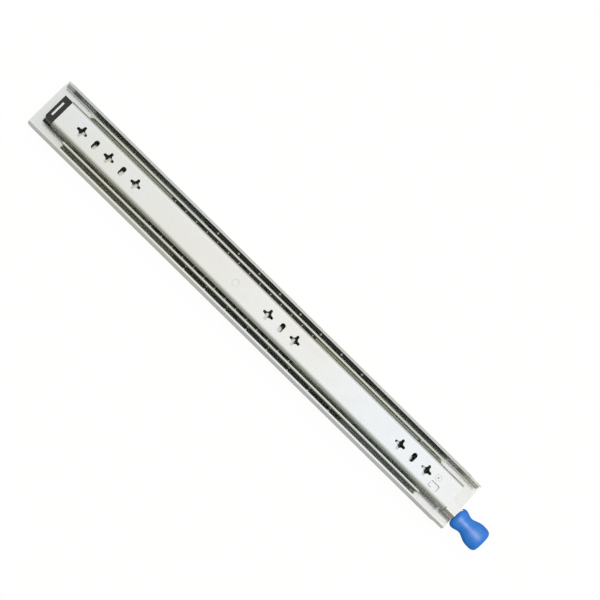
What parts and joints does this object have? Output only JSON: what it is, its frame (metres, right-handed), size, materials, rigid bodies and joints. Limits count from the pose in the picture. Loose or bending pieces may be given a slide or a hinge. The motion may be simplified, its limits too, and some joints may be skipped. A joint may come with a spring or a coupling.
{
  "type": "drawer slide",
  "caption": "Side-mounted full-extension ball-bearing drawer slide in zinc-plated steel with a front lock lever in a vinyl grip.",
  "frame": {"origin": "centre of the cabinet member's back face, which screws to the cabinet wall", "axes": "+X along the travel towards the front, +Y across the slide, +Z from the cabinet wall towards the drawer"},
  "size_m": [0.5366, 0.053, 0.019],
  "materials": {
    "zinc_steel": "bright zinc plate, satin",
    "spring_steel": "bright rolled",
    "bearing_steel": "polished",
    "black_plastic": "moulded, satin",
    "blue_vinyl": "soft dipped vinyl"
  },
  "bodies": {
    "cabinet": {"cabinet_member": "zinc_steel", "rear_bumper": "black_plastic"},
    "intermediate": {"intermediate_member": "zinc_steel", "intermediate_latch": "spring_steel", "latch_rivets": "zinc_steel"},
    "drawer": {"drawer_member": "zinc_steel", "drawer_stop_rivet": "zinc_steel", "lever_pivot_rivet": "zinc_steel", "lever_washer": "zinc_steel", "lever_spring": "spring_steel"},
    "lever": {"lock_lever": "zinc_steel", "lever_grip": "blue_vinyl"},
    "outer_cages": {"outer_cage_upper": "black_plastic", "outer_cage_lower": "black_plastic", "outer_balls_upper": "bearing_steel", "outer_balls_lower": "bearing_steel"},
    "inner_cages": {"inner_cage_upper": "black_plastic", "inner_cage_lower": "black_plastic", "inner_balls_upper": "bearing_steel", "inner_balls_lower": "bearing_steel"}
  },
  "joints": [
    {"name": "intermediate_slide", "type": "slide", "parent": "cabinet", "child": "intermediate", "axis": [1, 0, 0], "range_m": [0, 0.24]},
    {"name": "drawer_slide", "type": "slide", "parent": "intermediate", "child": "drawer", "axis": [1, 0, 0], "range_m": [0, 0.235]},
    {"name": "lever_pivot", "type": "hinge", "parent": "drawer", "child": "lever", "pos_m": [0.2169, 0.00265, 0.0157], "axis": [0, 0, 1], "range_deg": [0, 14], "stiffness_Nm_per_rad": 0.2, "deforming": ["lever_spring"]},
    {"name": "outer_cage_slide", "type": "slide", "parent": "cabinet", "child": "outer_cages", "axis": [1, 0, 0], "range_m": [0, 0.12]},
    {"name": "inner_cage_slide", "type": "slide", "parent": "intermediate", "child": "inner_cages", "axis": [1, 0, 0], "range_m": [0, 0.1175]}
  ],
  "couplings": [
    {"joint": "outer_cage_slide", "follows": "intermediate_slide", "ratio": 0.5},
    {"joint": "inner_cage_slide", "follows": "drawer_slide", "ratio": 0.5}
  ]
}
